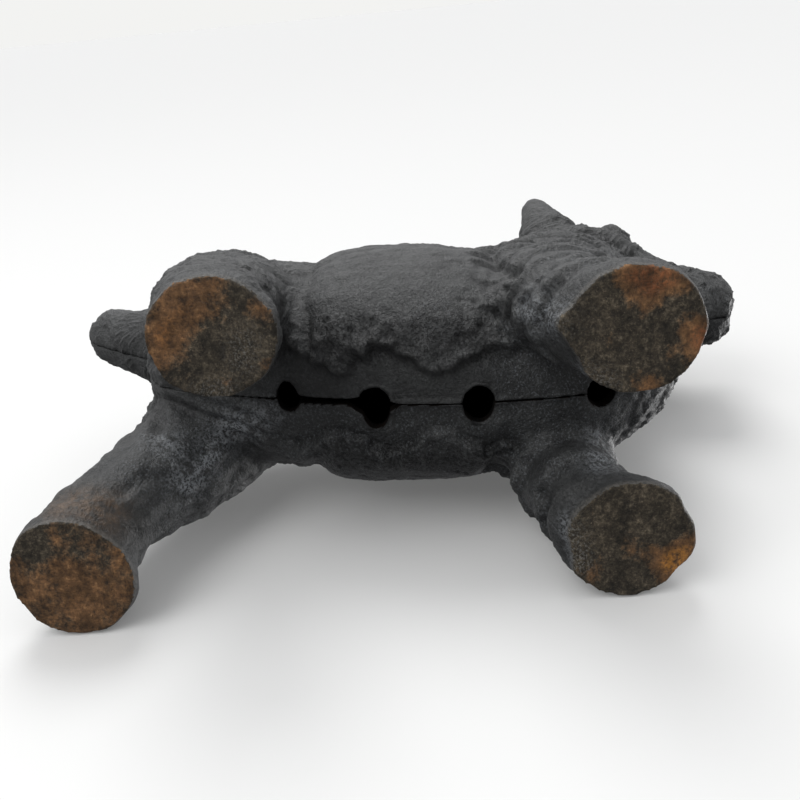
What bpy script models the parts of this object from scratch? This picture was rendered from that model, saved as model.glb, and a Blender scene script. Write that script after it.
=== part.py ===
"""Cast-iron terrier door stop: two hollow half castings held together by two slotted screws.

Metres, +Z up. The dog stands on its four soles at Z = 0 and faces -Y, so its left side is +X.
It is built with the castings meeting on the plane X = 0, then moved so that the origin is on the
ground under the middle of its bounding box.
"""

from math import cos, pi, radians, sin

import bmesh
import bpy
from mathutils import Matrix, Vector

MM = 0.001

# Driving dimensions, in millimetres.
WALL = 5.5
SEAM_GAP = 0.4
CLEARANCE = 0.35
VENT_RADIUS = 4.9
VENTS = ((37.5, 3.8), (11.5, VENT_RADIUS), (-21.5, VENT_RADIUS), (-59.0, VENT_RADIUS))
VENT_SPAN = (15.0, 70.0)
SEAM_SPREAD = ((11.5, 37.5), 1.5)
SEAM_SPREAD_SPAN = (15.0, 45.0)
BOSS_RADIUS = 6.5
SCREW_RADIUS = 2.4
SCREW_HEAD_RADIUS = 4.8
SCREW_HEAD_DEPTH = 2.6
SCREW_HEAD_RIM = 0.3
SCREW_POINT = (0.9, 1.0)
SCREW_SLOT = (1.2, 1.1)
SLOT_ANGLE = {"shoulder_screw": radians(35), "haunch_screw": radians(-20)}
SCREW_TIP = -17.0
SCREWS = {"shoulder_screw": (-40.0, 92.0), "haunch_screw": (62.0, 88.0)}
SEAT = {"shoulder_screw": 33.9, "haunch_screw": 33.4}
HOLE_PAST_TIP = 2.0
BOSS_SETBACK = 3.0
MIDDLE = (2.24, -1.56, 0.0)
# Cutters run this far past a face they open, and this far out where they take everything away.
OVERRUN = 5.0
FIELD = 250.0

# Mesh fineness, in millimetres and ratios.
RING_SIDES = 16
ROUND_SIDES = 24
TORSO_FULLNESS = 2.3
FIGURE_VOXEL = 1.6
CORE_VOXEL = 3.0
FIGURE_FACES = 7600
CORE_FACES = 1500

# Stations of each limb: centre x, y, z, half width across the dog, half depth in the dog's plane.
TORSO = (
    (0, 88, 93, 10, 12),
    (0, 82, 91, 21, 24),
    (0, 69, 88, 33, 36),
    (0, 49, 85, 35, 38),
    (0, 33, 82, 33, 41),
    (0, 21, 80, 37.5, 44.5),
    (0, -3, 78, 38.5, 47.5),
    (0, -17, 77, 37, 48.5),
    (0, -25, 77.5, 33.5, 48),
    (0, -35, 79, 37.5, 50.5),
    (0, -49, 82, 37, 51),
    (0, -61, 88, 31.5, 44),
    (0, -69, 96, 24.5, 35),
    (0, -75, 103, 13, 22),
)
NECK = (
    (0, -41, 86, 34, 36),
    (0, -53, 108, 33.5, 36),
    (0, -62, 128, 32, 33),
    (0, -67, 147, 29, 27),
)
HEAD = (
    (0, -45, 148, 14, 11),
    (0, -52, 149, 26, 20),
    (0, -65, 149, 31, 22.5),
    (0, -81, 147.5, 29.5, 21.5),
    (0, -92, 144, 24, 18.5),
    (0, -100, 140.5, 17, 15.5),
    (0, -113, 138, 12.5, 14),
    (0, -124, 137, 10.5, 13),
    (0, -127, 137, 7, 9),
)
BEARD = (
    (0, -83, 136, 19, 14),
    (0, -95, 128, 18.5, 17),
    (0, -109, 123.5, 15, 18),
    (0, -121, 121, 12, 17),
    (0, -125, 120, 7, 11),
)
BROW = (
    (6, -89, 160, 4, 5),
    (10, -93, 161, 5.5, 6),
    (16, -93, 159.5, 6, 6),
    (22, -88.5, 156.5, 5, 5.5),
    (26.5, -82, 154.5, 3, 3.5),
)
NOSE = (
    (0, -118, 146, 6.5, 5),
    (0, -126, 146, 8, 6),
    (0, -130, 145, 6, 4.5),
)
TAIL = (
    (0, 75, 102, 23, 20),
    (0, 89, 107, 17.5, 16),
    (0, 101, 113, 12, 12.5),
    (0, 112, 121, 10.3, 10.5),
    (0, 120, 128, 10.6, 9.8),
    (0, 124, 131, 7, 6.5),
)
EAR = (
    (16, -62.5, 155, 13.5, 15.5),
    (19.5, -62.5, 167, 12, 13),
    (24.5, -61.5, 179, 9, 9.8),
    (29, -60, 189, 6.4, 7.5),
    (32, -59.5, 196, 4.4, 4.8),
    (32.8, -59.5, 199, 2.6, 3),
)
RIGHT_FRONT_LEG = (
    (29.5, -60.5, -5, 18.2, 19.2),
    (29.5, -60.5, 3, 18.2, 19.2),
    (29.3, -58.5, 9, 17, 17.8),
    (28.8, -53, 16, 15.5, 16.5),
    (28, -49, 27, 15, 17),
    (26.8, -47, 44, 15.5, 18.5),
    (24, -47, 68, 15, 22),
    (20, -45, 90, 12, 21),
)
LEFT_FRONT_LEG = (
    (31.7, -61, -5, 19.1, 19.5),
    (31.7, -61, 2.5, 19.1, 19.5),
    (31, -57.5, 8, 16.5, 16.5),
    (29.5, -52, 16, 14.8, 15.5),
    (28, -48, 27, 15, 16.5),
    (26.8, -46, 44, 15.5, 18.5),
    (24, -47, 68, 15, 22),
    (20, -45, 90, 12, 21),
)
RIGHT_HIND_LEG = (
    (33.2, 48.4, -5, 17, 17.8),
    (33.2, 48.4, 2, 17, 17.8),
    (33.6, 49, 7, 17.4, 17.8),
    (32.6, 52, 17, 16, 15.5),
    (31, 55, 32, 15.5, 16),
    (28, 57, 52, 16.5, 21),
    (25, 60, 74, 17, 26),
    (18, 63, 94, 14, 22),
)
LEFT_HIND_LEG = (
    (35.4, 97.8, -5, 20.4, 19.2),
    (35.4, 97.8, 3, 20.4, 19.2),
    (33, 97.5, 8, 17.6, 17),
    (28.4, 94.5, 16, 14, 14.3),
    (25.6, 87, 32, 14.5, 15.3),
    (25.5, 77, 53, 18, 20.5),
    (23.5, 70, 74, 20, 27),
    (15, 69, 94, 16.5, 27),
)


def clear_scene():
    for old in list(bpy.data.objects):
        bpy.data.objects.remove(old, do_unlink=True)


def collection(name):
    group = bpy.data.collections.new(name)
    bpy.context.scene.collection.children.link(group)
    return group


def add_object(name, mesh, group):
    made = bpy.data.objects.new(name, mesh)
    group.objects.link(made)
    return made


def finish_mesh(shape, name):
    """Turns a bmesh in millimetres into a mesh in metres with its faces pointing out."""
    bmesh.ops.recalc_face_normals(shape, faces=shape.faces)
    bmesh.ops.scale(shape, vec=(MM, MM, MM), verts=shape.verts)
    mesh = bpy.data.meshes.new(name)
    shape.to_mesh(mesh)
    shape.free()
    return mesh


def rounded(value, fullness):
    """A sine or cosine pushed out towards a square corner by the fullness, 2 being a plain ellipse."""
    return abs(value) ** (2 / fullness) * (1 if value >= 0 else -1)


def loft(shape, stations, side=1, shrink=0.0, fullness=2.0):
    """Skins oval rings set square to the path through the stations' centres."""
    centres = [Vector((side * x, y, z)) for x, y, z, _, _ in stations]
    rings = []
    for index, (centre, station) in enumerate(zip(centres, stations)):
        before = centres[max(index - 1, 0)]
        after = centres[min(index + 1, len(centres) - 1)]
        path = (after - before).normalized()
        across = Vector((1, 0, 0))
        across = (across - path * across.dot(path)).normalized()
        down = path.cross(across)
        wide = max(station[3] - shrink, 1.5)
        deep = max(station[4] - shrink, 1.5)
        ring = []
        for step in range(RING_SIDES):
            angle = 2 * pi * step / RING_SIDES
            sideways = across * (wide * rounded(cos(angle), fullness))
            upright = down * (deep * rounded(sin(angle), fullness))
            ring.append(shape.verts.new(centre + sideways + upright))
        rings.append(ring)
    for near, far in zip(rings, rings[1:]):
        for step in range(RING_SIDES):
            ahead = (step + 1) % RING_SIDES
            shape.faces.new((near[step], near[ahead], far[ahead], far[step]))
    shape.faces.new(rings[0])
    shape.faces.new(rings[-1])


def baked(source, name, group):
    """Applies an object's modifiers into a new object and removes the old one."""
    bpy.context.view_layer.update()
    evaluated = source.evaluated_get(bpy.context.evaluated_depsgraph_get())
    mesh = bpy.data.meshes.new_from_object(evaluated)
    mesh.name = name
    bpy.data.objects.remove(source, do_unlink=True)
    return add_object(name, mesh, group)


def soft_body(name, shape, voxel, faces, group):
    """Fuses overlapping lofts into one smooth closed skin with about the given face count."""
    rough = add_object(name + "_lofts", finish_mesh(shape, name), group)
    smooth = rough.modifiers.new("Round", "SUBSURF")
    smooth.levels = 2
    smooth.render_levels = 2
    fuse = rough.modifiers.new("Fuse", "REMESH")
    fuse.mode = "VOXEL"
    fuse.voxel_size = voxel * MM
    ease = rough.modifiers.new("Ease", "SMOOTH")
    ease.factor = 0.5
    ease.iterations = 8
    skin = baked(rough, name, group)
    thin = skin.modifiers.new("Thin", "DECIMATE")
    thin.ratio = faces / (2 * len(skin.data.polygons))
    return baked(skin, name, group)


def box(name, low, high, group):
    shape = bmesh.new()
    bmesh.ops.create_cube(shape, size=1.0)
    centre = [(a + b) / 2 for a, b in zip(low, high)]
    size = [b - a for a, b in zip(low, high)]
    bmesh.ops.scale(shape, vec=size, verts=shape.verts)
    bmesh.ops.translate(shape, vec=centre, verts=shape.verts)
    return add_object(name, finish_mesh(shape, name), group)


def rod(name, start, end, radius, sides, group):
    """A cylinder between two points."""
    start, end = Vector(start), Vector(end)
    along = end - start
    turn = Vector((0, 0, 1)).rotation_difference(along).to_matrix().to_4x4()
    shape = bmesh.new()
    bmesh.ops.create_cone(
        shape,
        cap_ends=True,
        segments=sides,
        radius1=radius,
        radius2=radius,
        depth=along.length,
    )
    bmesh.ops.transform(shape, matrix=turn, verts=shape.verts)
    bmesh.ops.translate(shape, vec=(start + end) / 2, verts=shape.verts)
    return add_object(name, finish_mesh(shape, name), group)


def boolean(target, operation, tool):
    step = target.modifiers.new(operation.title() + " " + tool.name, "BOOLEAN")
    step.operation = operation
    step.solver = "EXACT"
    step.object = tool


def hide_cutters(group):
    for cutter in group.objects:
        cutter.hide_render = True
        cutter.display_type = "WIRE"


def material(name, colour, roughness, metallic):
    made = bpy.data.materials.new(name)
    made.use_nodes = True
    shader = made.node_tree.nodes["Principled BSDF"]
    shader.inputs["Base Color"].default_value = (*colour, 1)
    shader.inputs["Roughness"].default_value = roughness
    shader.inputs["Metallic"].default_value = metallic
    return made


def figure(cutters):
    """The whole dog's outer skin, before it is hollowed and split."""
    shape = bmesh.new()
    loft(shape, TORSO, fullness=TORSO_FULLNESS)
    for stations in (NECK, HEAD, BEARD, NOSE, TAIL):
        loft(shape, stations)
    for side in (-1, 1):
        for stations in (EAR, BROW):
            loft(shape, stations, side)
    for stations in (RIGHT_FRONT_LEG, RIGHT_HIND_LEG):
        loft(shape, stations, -1)
    for stations in (LEFT_FRONT_LEG, LEFT_HIND_LEG):
        loft(shape, stations, 1)
    return soft_body("figure", shape, FIGURE_VOXEL, FIGURE_FACES, cutters)


def core(cutters):
    """The hollow inside: torso, neck and head, one wall smaller than the outside."""
    shape = bmesh.new()
    for stations in (TORSO[1:-1], NECK, HEAD[1:-1]):
        loft(shape, stations, shrink=WALL)
    return soft_body("core", shape, CORE_VOXEL, CORE_FACES, cutters)


def casting(parts, cutters):
    """The hollowed dog with its screw bosses, vents and flat soles, still in one piece."""
    whole = figure(cutters)
    boolean(whole, "DIFFERENCE", core(cutters))
    for name, (y, z) in SCREWS.items():
        reach = SEAT[name] - BOSS_SETBACK
        boss = rod("boss_" + name, (-reach, y, z), (reach, y, z), BOSS_RADIUS, ROUND_SIDES, cutters)
        boolean(whole, "UNION", boss)
    for index, (y, radius) in enumerate(VENTS):
        low, high = ((0, y, z) for z in VENT_SPAN)
        vent = rod(f"vent_{index}", low, high, radius, ROUND_SIDES, cutters)
        boolean(whole, "DIFFERENCE", vent)
    (low_y, high_y), spread = SEAM_SPREAD
    low_z, high_z = SEAM_SPREAD_SPAN
    warp = box("seam_spread", (-spread / 2, low_y, low_z), (spread / 2, high_y, high_z), cutters)
    boolean(whole, "DIFFERENCE", warp)
    ground = box("ground", (-FIELD, -FIELD, -FIELD), (FIELD, FIELD, 0), cutters)
    boolean(whole, "DIFFERENCE", ground)
    return baked(whole, "casting", parts)


def turned(name, outline, place, group):
    """A round solid about an axis along X, from a half outline of radii and heights along it.

    The outline runs down the outer side, from the end that points to +X.
    """
    shape = bmesh.new()
    points = [shape.verts.new((radius * MM, 0, height * MM)) for radius, height in outline]
    for first, second in zip(points, points[1:]):
        shape.edges.new((first, second))
    mesh = bpy.data.meshes.new(name)
    shape.to_mesh(mesh)
    shape.free()
    made = add_object(name, mesh, group)
    made.location = Vector(place) * MM
    made.rotation_euler = (0, radians(90), 0)
    spin = made.modifiers.new("Turn", "SCREW")
    spin.axis = "Z"
    spin.steps = ROUND_SIDES
    spin.render_steps = ROUND_SIDES
    spin.use_merge_vertices = True
    spin.merge_threshold = 0.00002
    return made


def screw_hole(name, cutters):
    """The left half's countersunk clearance hole, open to the outside."""
    y, z = SCREWS[name]
    bore = SCREW_RADIUS + CLEARANCE
    mouth = SCREW_HEAD_RADIUS + CLEARANCE
    outline = (
        (0, 3 * OVERRUN),
        (mouth, 3 * OVERRUN),
        (mouth, -SCREW_HEAD_RIM),
        (bore, -SCREW_HEAD_DEPTH),
        (bore, -SEAT[name] - OVERRUN),
        (0, -SEAT[name] - OVERRUN),
    )
    return turned("hole_" + name, outline, (SEAT[name], y, z), cutters)


def tapped_hole(name, cutters):
    """The right half's blind hole, a plain bore in place of its thread."""
    y, z = SCREWS[name]
    bore = SCREW_RADIUS + CLEARANCE
    end = SCREW_TIP - HOLE_PAST_TIP
    return rod("tapped_" + name, (OVERRUN, y, z), (end, y, z), bore, ROUND_SIDES, cutters)


def half(name, whole, side, paint, parts, cutters):
    """One half casting: the dog cut on the seam plane, with its side of the screw holes."""
    mesh = whole.data.copy()
    mesh.name = name
    piece = add_object(name, mesh, parts)
    piece.data.materials.clear()
    piece.data.materials.append(paint)
    low, high = sorted((side * SEAM_GAP / 2, -side * FIELD))
    beyond = box("beyond_" + name, (low, -FIELD, -FIELD), (high, FIELD, FIELD), cutters)
    boolean(piece, "DIFFERENCE", beyond)
    hole = screw_hole if side > 0 else tapped_hole
    for screw_name in SCREWS:
        boolean(piece, "DIFFERENCE", hole(screw_name, cutters))
    return piece


def screw(name, steel, parts, cutters):
    """A slotted countersunk screw, turned about its own axis and laid along X."""
    y, z = SCREWS[name]
    length = SEAT[name] - SCREW_TIP
    narrowing, point_length = SCREW_POINT
    outline = (
        (0, 0),
        (SCREW_HEAD_RADIUS, 0),
        (SCREW_HEAD_RADIUS, -SCREW_HEAD_RIM),
        (SCREW_RADIUS, -SCREW_HEAD_DEPTH),
        (SCREW_RADIUS, -length + point_length),
        (SCREW_RADIUS - narrowing, -length),
        (0, -length),
    )
    made = turned(name, outline, (SEAT[name], y, z), parts)
    made.data.materials.append(steel)
    width, depth = SCREW_SLOT
    reach = SCREW_HEAD_RADIUS + OVERRUN
    slot = box("slot_" + name, (-width / 2, -reach, -depth), (width / 2, reach, OVERRUN), cutters)
    slot.data.transform(Matrix.Rotation(SLOT_ANGLE[name], 4, "Z"))
    slot.location = made.location
    slot.rotation_euler = made.rotation_euler
    boolean(made, "DIFFERENCE", slot)
    return made


def build():
    clear_scene()
    parts = collection("Door stop")
    cutters = collection("Cutters")
    paint = material("Black paint on cast iron", (0.022, 0.024, 0.025), 0.55, 0.2)
    steel = material("Blackened steel", (0.08, 0.075, 0.07), 0.45, 1.0)
    whole = casting(parts, cutters)
    half("right_half", whole, -1, paint, parts, cutters)
    half("left_half", whole, 1, paint, parts, cutters)
    for name in SCREWS:
        screw(name, steel, parts, cutters)
    bpy.data.objects.remove(whole, do_unlink=True)
    for thing in (*parts.objects, *cutters.objects):
        thing.location -= Vector(MIDDLE) * MM
    hide_cutters(cutters)


build()
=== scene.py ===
"""Looks of the cast-iron terrier door stop: sculpted castings, worn black paint, rusty soles, studio."""

from math import cos, pi, radians, sin

import bmesh
import bpy
import numpy as np
from mathutils import Matrix, Vector, kdtree


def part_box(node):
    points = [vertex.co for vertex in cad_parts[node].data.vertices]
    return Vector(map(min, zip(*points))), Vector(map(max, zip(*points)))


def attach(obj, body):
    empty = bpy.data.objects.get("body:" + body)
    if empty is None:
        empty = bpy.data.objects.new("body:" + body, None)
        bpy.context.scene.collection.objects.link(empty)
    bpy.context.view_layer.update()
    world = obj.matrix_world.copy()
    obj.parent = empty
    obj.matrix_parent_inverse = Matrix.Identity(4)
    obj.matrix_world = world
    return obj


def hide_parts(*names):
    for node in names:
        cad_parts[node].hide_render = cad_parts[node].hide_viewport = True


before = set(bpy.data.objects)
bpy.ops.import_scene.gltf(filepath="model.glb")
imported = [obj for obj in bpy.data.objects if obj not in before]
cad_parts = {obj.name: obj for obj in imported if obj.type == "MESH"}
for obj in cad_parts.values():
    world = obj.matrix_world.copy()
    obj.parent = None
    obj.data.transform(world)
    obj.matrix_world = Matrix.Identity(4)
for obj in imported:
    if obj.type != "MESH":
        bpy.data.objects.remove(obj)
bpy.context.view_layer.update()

MM = 0.001
VOXEL = 0.9
SEED = 11
# The shares of the way to its neighbours' mean that relaxing pulls a point, and pushes it back.
SOFTEN = 0.5
PUSH_BACK = -0.52

# Places on the dog in millimetres: it faces -Y, its left side is +X, its soles are at Z = 0 and the
# seam between the castings is at X = 0, which is MIDDLE away from the frame's own origin. A vent has its
# place along Y and its radius.
MIDDLE = np.array((2.24, -1.56, 0.0))
VENTS = ((37.5, 3.8), (11.5, 4.9), (-21.5, 4.9), (-59.0, 4.9))
SOLES = {
    "right_front": (-29.5, -60.5),
    "left_front": (31.7, -61.0),
    "right_hind": (-33.2, 48.4),
    "left_hind": (35.4, 97.8),
}
# No point of a sole is farther than this from its middle.
SOLE_REACH = 26
# The mouths of the vents lie below this height, and the seam gapes only below it.
BELLY_TOP = 50
# The wall of a screw's hole lies within this distance of the screw's middle line.
SCREW_HOLE = 5.6

# The coat by region: place (distance from the seam, y, z), reach, way the hair lies, lock height,
# lock length and lock width.
COAT = (
    ((0, 60, 124), 30, (0, 1, -0.2), 1.0, 11, 5.0),
    ((0, 0, 126), 34, (0.2, 1, -0.1), 1.0, 11, 5.0),
    ((30, 20, 108), 24, (0.3, 0.8, -0.6), 1.0, 12, 5.0),
    ((38, 0, 78), 24, (0, 0.25, -1), 0.45, 13, 5.5),
    ((33, 0, 48), 18, (0, 0.1, -1), 0.4, 9, 4.0),
    ((35, -50, 62), 20, (0, 0.3, -0.95), 0.8, 16, 6.5),
    ((36, -50, 88), 20, (0, 0.35, -0.9), 1.0, 16, 6.5),
    ((32, -56, 118), 24, (0, 0.35, -0.95), 1.9, 15, 6.5),
    ((14, -30, 138), 20, (0.2, 0.8, -0.6), 1.7, 11, 5.0),
    ((12, -86, 112), 18, (0, -0.1, -1), 2.0, 12, 4.8),
    ((14, -76, 80), 18, (0, 0, -1), 1.7, 12, 4.8),
    ((26, -66, 150), 18, (0.2, 0.6, -0.8), 1.8, 10, 4.4),
    ((10, -66, 170), 16, (0, 1, 0.1), 0.8, 8, 4.0),
    ((18, -100, 122), 14, (0.1, -0.35, -1), 2.1, 14, 3.8),
    ((4, -120, 118), 12, (0, -0.2, -1), 1.8, 14, 3.6),
    ((21, -94, 158), 8, (0.3, -0.7, -0.5), 2.2, 9, 3.2),
    ((4, -106, 152), 12, (0.2, 0.9, 0.1), 0.4, 6, 3.4),
    ((36, 62, 88), 22, (0, 0.3, -0.95), 1.4, 12, 5.5),
    ((34, 62, 58), 20, (0, 0.25, -1), 1.2, 13, 5.0),
    ((12, 88, 84), 16, (0, 0.3, -1), 1.4, 12, 4.6),
    ((8, 112, 122), 16, (0, 0.75, 0.65), 1.0, 10, 4.4),
    ((34, -46, 28), 16, (0, 0.2, -1), 1.0, 15, 5.0),
    ((34, 54, 28), 16, (0, 0.1, -1), 1.0, 14, 4.6),
    ((34, 90, 34), 18, (0, 0.3, -1), 0.9, 16, 5.5),
    ((16, 76, 45), 18, (0, 0.5, -0.8), 0.5, 16, 6.0),
    ((10, -50, 34), 14, (0, 0.2, -1), 0.0, 9, 4.0),
    ((4, 10, 36), 14, (0, 0.2, -1), 0.0, 9, 4.0),
    ((26, -62, 186), 12, (0, 0, 1), 0.3, 6, 3.4),
)


# ---------------------------------------------------------------- numbers and meshes


def smooth_step(low, high, value):
    t = np.clip((value - low) / (high - low), 0, 1)
    return t * t * (3 - 2 * t)


def lattice(ix, iy, iz, seed):
    """A repeatable random number from -1 to 1 for each whole-number place."""
    h = ix.astype(np.uint32) * np.uint32(374761393)
    h = h + iy.astype(np.uint32) * np.uint32(668265263)
    h = h + iz.astype(np.uint32) * np.uint32(2246822519)
    h = h + np.uint32(seed * 977)
    h = (h ^ (h >> np.uint32(13))) * np.uint32(1274126177)
    h = h ^ (h >> np.uint32(16))
    return h.astype(np.float64) / 2147483647.5 - 1


def noise(points, size, seed=0):
    """Smooth random values from -1 to 1 with features about size millimetres across."""
    scaled = points / size
    cell = np.floor(scaled).astype(np.int64)
    part = scaled - cell
    part = part * part * part * (part * (part * 6 - 15) + 10)
    total = np.zeros(len(points))
    for dx in (0, 1):
        for dy in (0, 1):
            for dz in (0, 1):
                weight = np.abs(1 - dx - part[:, 0])
                weight = weight * np.abs(1 - dy - part[:, 1])
                weight = weight * np.abs(1 - dz - part[:, 2])
                total += weight * lattice(cell[:, 0] + dx, cell[:, 1] + dy, cell[:, 2] + dz, seed)
    return total


def layered_noise(points, size, layers, seed=0):
    total = np.zeros(len(points))
    for layer in range(layers):
        total += noise(points, size / 2**layer, seed + layer) / 2**layer
    return total


def link(name, mesh):
    made = bpy.data.objects.new(name, mesh)
    bpy.context.scene.collection.objects.link(made)
    return made


def applied(source):
    """The object's mesh with its modifiers worked in; the object itself is removed."""
    bpy.context.view_layer.update()
    evaluated = source.evaluated_get(bpy.context.evaluated_depsgraph_get())
    mesh = bpy.data.meshes.new_from_object(evaluated)
    bpy.data.objects.remove(source, do_unlink=True)
    return mesh


def read(items, name, width, kind=np.float32):
    """One property of all of a mesh's vertices, edges, faces or corners, a row for each."""
    flat = np.empty(len(items) * width, kind)
    items.foreach_get(name, flat)
    return flat.reshape(-1, width)


def points_of(mesh):
    return read(mesh.vertices, "co", 3).astype(np.float64) / MM + MIDDLE


def normals_of(mesh):
    return read(mesh.vertices, "normal", 3).astype(np.float64)


def set_points(mesh, points):
    mesh.vertices.foreach_set("co", ((points - MIDDLE) * MM).astype(np.float32).ravel())
    mesh.update()


def store(mesh, name, values):
    """Keeps a number for each vertex, for the materials to read by name."""
    layer = mesh.attributes.new(name, "FLOAT", "POINT")
    layer.data.foreach_set("value", values.astype(np.float32))


def neighbour_mean(points, edges):
    total = np.zeros_like(points)
    for column in range(points.shape[1]):
        total[:, column] = np.bincount(edges[:, 0], points[edges[:, 1], column], len(points))
        total[:, column] += np.bincount(edges[:, 1], points[edges[:, 0], column], len(points))
    count = np.bincount(edges.ravel(), minlength=len(points))
    return total / np.maximum(count, 1)[:, None]


def relax(points, edges, share, rounds):
    """Smooths without shrinking: each soft pull is followed by a slightly stronger push back."""
    for _ in range(rounds):
        for factor in (SOFTEN, PUSH_BACK):
            move = neighbour_mean(points, edges) - points
            points = points + move * (factor * share)[:, None]
    return points


# ---------------------------------------------------------------- the castings


def fine_mesh(node):
    """The CAD casting as an even skin of small faces."""
    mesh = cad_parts[node].data.copy()
    shape = bmesh.new()
    shape.from_mesh(mesh)
    bmesh.ops.remove_doubles(shape, verts=shape.verts, dist=0.000001)
    shape.to_mesh(mesh)
    shape.free()
    rough = link(node + "_rough", mesh)
    even = rough.modifiers.new("Even skin", "REMESH")
    even.mode = "VOXEL"
    even.voxel_size = VOXEL * MM
    return applied(rough)


def outside(points, normals, edges, side):
    """1 for vertices of the outer skin, 0 for the cavity, the seam face and the holes."""
    seam = (side * points[:, 0] < 1.2) & (side * normals[:, 0] < -0.75)
    wall = seam.copy()
    for y, radius in VENTS:
        near = np.abs(points[:, 1] - y) < radius + 2
        near &= (np.abs(points[:, 0]) < radius + 2) & (points[:, 2] < BELLY_TOP)
        wall |= near & (normals[:, 2] > -0.4)
    for name in ("shoulder_screw", "haunch_screw"):
        low, high = (np.array(corner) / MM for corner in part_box(name))
        middle = (low + high) / 2 + MIDDLE
        gap = np.hypot(points[:, 1] - middle[1], points[:, 2] - middle[2])
        wall |= (gap < SCREW_HOLE) & (side > 0)
    slot = (np.abs(points[:, 0]) < 1.6) & (points[:, 2] < BELLY_TOP) & (np.abs(points[:, 1] - 24) < 16)
    wall |= slot & (normals[:, 2] > -0.5)
    skin = (points[:, 2] > points[:, 2].max() - 6) & ~wall
    while True:
        grown = skin.copy()
        grown[edges[skin[edges[:, 1]], 0]] = True
        grown[edges[skin[edges[:, 0]], 1]] = True
        grown &= ~wall
        if grown.sum() == skin.sum():
            return skin.astype(float)
        skin = grown


def coat_at(points):
    """Hair flow, lock height, length and width at each point, blended from the regions."""
    folded = points.copy()
    folded[:, 0] = np.abs(folded[:, 0])
    weights = []
    for place, reach, *_ in COAT:
        gap = np.linalg.norm(folded - np.array(place, float), axis=1)
        weights.append(np.exp(-((gap / reach) ** 2)) + 1e-9)
    weights = np.array(weights)
    weights /= weights.sum(axis=0)
    flow = np.array([np.array(row[2], float) / np.linalg.norm(row[2]) for row in COAT])
    sizes = np.array([row[3:] for row in COAT], float)
    way = weights.T @ flow
    way[:, 0] *= np.where(points[:, 0] < 0, -1, 1)
    return way, weights.T @ sizes


def scattered(points, allowed, spacing, rng):
    """Indices of points picked at random, none closer together than its own spacing."""
    picked = []
    grid = {}
    cell = 8.0
    for index in rng.permutation(np.flatnonzero(allowed))[:30000]:
        place = points[index]
        key = tuple(np.floor(place / cell).astype(int))
        clear = True
        for dx in (-1, 0, 1):
            for dy in (-1, 0, 1):
                for dz in (-1, 0, 1):
                    for other in grid.get((key[0] + dx, key[1] + dy, key[2] + dz), ()):
                        if np.dot(points[other] - place, points[other] - place) < spacing[index] ** 2:
                            clear = False
        if clear:
            picked.append(index)
            grid.setdefault(key, []).append(index)
    return np.array(picked)


def locks(points, normals, skin, rng):
    """Height of the overlapping locks of hair over the skin, and how far across its lock each point is."""
    way, sizes = coat_at(points)
    roots = scattered(points, skin > 0.5, sizes[:, 2] * 0.95, rng)
    tree = kdtree.KDTree(len(roots))
    for index, root in enumerate(roots):
        tree.insert(points[root], index)
    tree.balance()
    along = way[roots] - normals[roots] * np.sum(way[roots] * normals[roots], axis=1)[:, None]
    along += rng.normal(0, 0.16, along.shape)
    along /= np.linalg.norm(along, axis=1)[:, None]
    across = np.cross(normals[roots], along)
    stretch = rng.uniform(0.8, 1.25, len(roots))
    lift = rng.uniform(0.65, 1.2, len(roots))
    bend = rng.uniform(-0.035, 0.035, len(roots))
    height = np.zeros(len(points))
    offside = np.zeros(len(points))
    for index in np.flatnonzero(skin > 0.5):
        best = 0.0
        for _, lock, _ in tree.find_n(points[index], 7):
            root = roots[lock]
            tall, length, width = sizes[root]
            offset = points[index] - points[root]
            if offset @ offset > length * length:
                continue
            if normals[index] @ normals[root] < 0.2:
                continue
            length *= stretch[lock]
            run = offset @ along[lock] / length + 0.42
            if run <= 0 or run >= 1:
                continue
            sway = offset @ across[lock] - bend[lock] * (run * length) ** 2
            half = width * (0.62 * (1 - (2 * run - 1) ** 4) ** 0.5 + 0.08)
            if abs(sway) >= half:
                continue
            dome = (1 - (sway / half) ** 2) ** 0.5 * (0.86 + 0.14 * cos(3 * pi * sway / half))
            edge = min(1.0, (1 - run) / 0.16) ** 0.6
            lifted = tall * lift[lock] * dome * edge * (0.25 + 0.75 * run)
            if lifted > best:
                best = lifted
                offside[index] = sway
        height[index] = best
    return height, offside


def bump_at(points, place, radius):
    """1 at a place, easing to 0 at the radius."""
    gap = np.linalg.norm(points - np.array(place, float), axis=1)
    return 1 - smooth_step(0, radius, gap)


def face_shape(points, normals, side):
    """Deep-set eye, nostril, mouth line and ear hollow."""
    near_eye = np.linalg.norm(points - np.array((side * 18.5, -96.5, 151.0)), axis=1)
    eye = points[near_eye.argmin()]
    gap = np.linalg.norm(points - eye, axis=1)
    change = -2.8 * (1 - smooth_step(2.6, 7.5, gap))
    change += np.sqrt(np.clip(3.3**2 - gap**2, 0, None)) * 0.8
    change -= 1.8 * bump_at(points, (side * 3.8, -129.0, 144.0), 2.8)
    lip = 133 + 2.5 * np.sin((points[:, 1] + 122) / 9.0) + 0.8 * noise(points, 6, 51)
    on_lip = np.exp(-(((points[:, 2] - lip) / 1.6) ** 2))
    on_lip *= smooth_step(-100, -106, points[:, 1]) * (points[:, 2] < 145)
    change -= 1.3 * on_lip
    drop = (points[:, 2] - 178) / 17
    spread = (side * points[:, 0] - (24.5 + 0.3 * (points[:, 2] - 179))) / 7.0
    cup = np.clip(1 - drop**2 - spread**2, 0, 1) * smooth_step(-0.1, -0.6, normals[:, 1])
    change -= 3.0 * cup * (points[:, 2] > 163)
    return change


# The coat ends beside the smooth belly in a wavy edge: its mean distance out from the seam, how far it
# swings, the length of one wave along the dog and the place of one outward crest.
FRINGE_OUT = 13.2
FRINGE_SWING = 3.3
FRINGE_WAVE = 32
FRINGE_CREST = 6
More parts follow.
